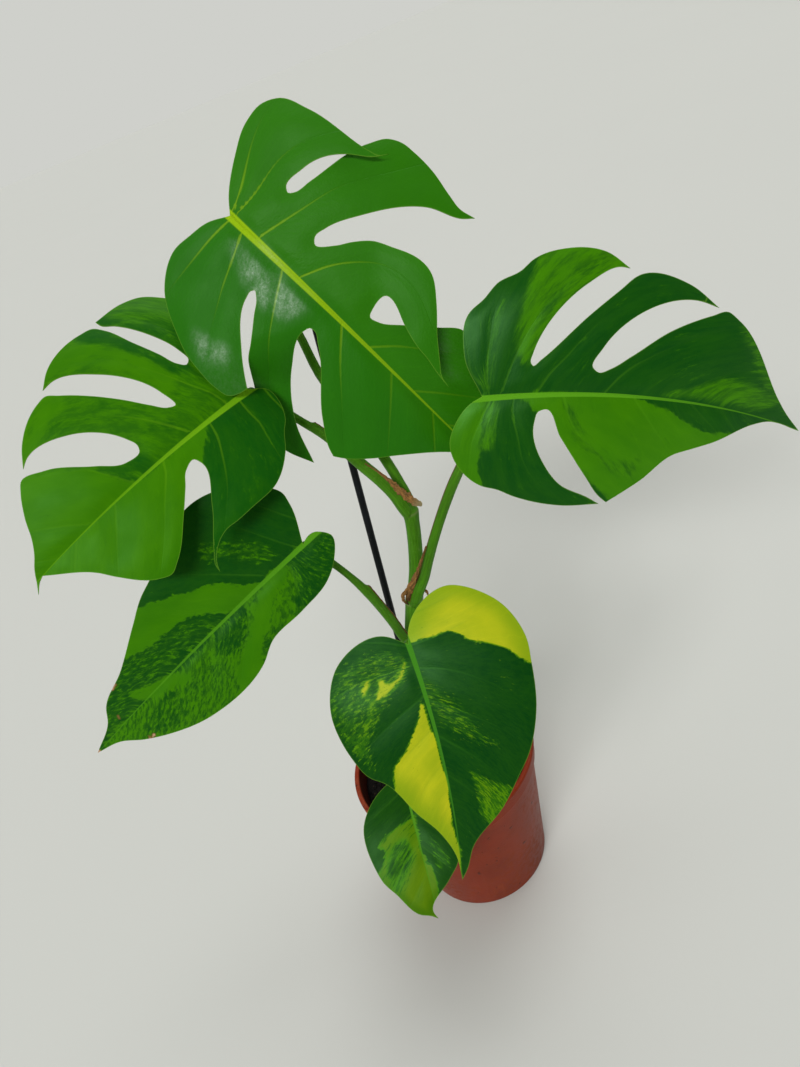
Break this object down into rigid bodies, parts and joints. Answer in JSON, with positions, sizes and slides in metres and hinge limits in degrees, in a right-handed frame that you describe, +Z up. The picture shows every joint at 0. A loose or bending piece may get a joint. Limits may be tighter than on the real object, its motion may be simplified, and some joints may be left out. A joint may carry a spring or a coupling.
{
  "type": "potted split-leaf climbing aroid",
  "caption": "Potted climbing aroid with split and heart-shaped variegated leaves on a staked stem, in a tapered round nursery pot.",
  "frame": {"origin": "centre of the underside of the pot", "axes": "+Z up along the pot's axis; -Y towards the side that the upper leaf faces are turned to; +X to the right seen from that side"},
  "size_m": [0.4025, 0.1775, 0.4773],
  "materials": {
    "pot_plastic": "dusty satin",
    "potting_soil": "crumbly matte",
    "stake_plastic": "satin",
    "green_stem": "smooth satin",
    "leaf_green": "waxy satin",
    "leaf_marbled": "waxy satin",
    "leaf_dark": "waxy satin",
    "dry_sheath": "dry papery"
  },
  "bodies": {
    "root": {"pot": "pot_plastic", "soil": "potting_soil", "stake": "stake_plastic", "stem": "green_stem", "leaf_a": "leaf_green", "leaf_b": "leaf_marbled", "leaf_c": "leaf_marbled", "leaf_d": "leaf_marbled", "leaf_e": "leaf_dark", "leaf_f": "leaf_marbled", "sheath_fork": "dry_sheath", "sheath_node": "dry_sheath"}
  },
  "joints": []
}
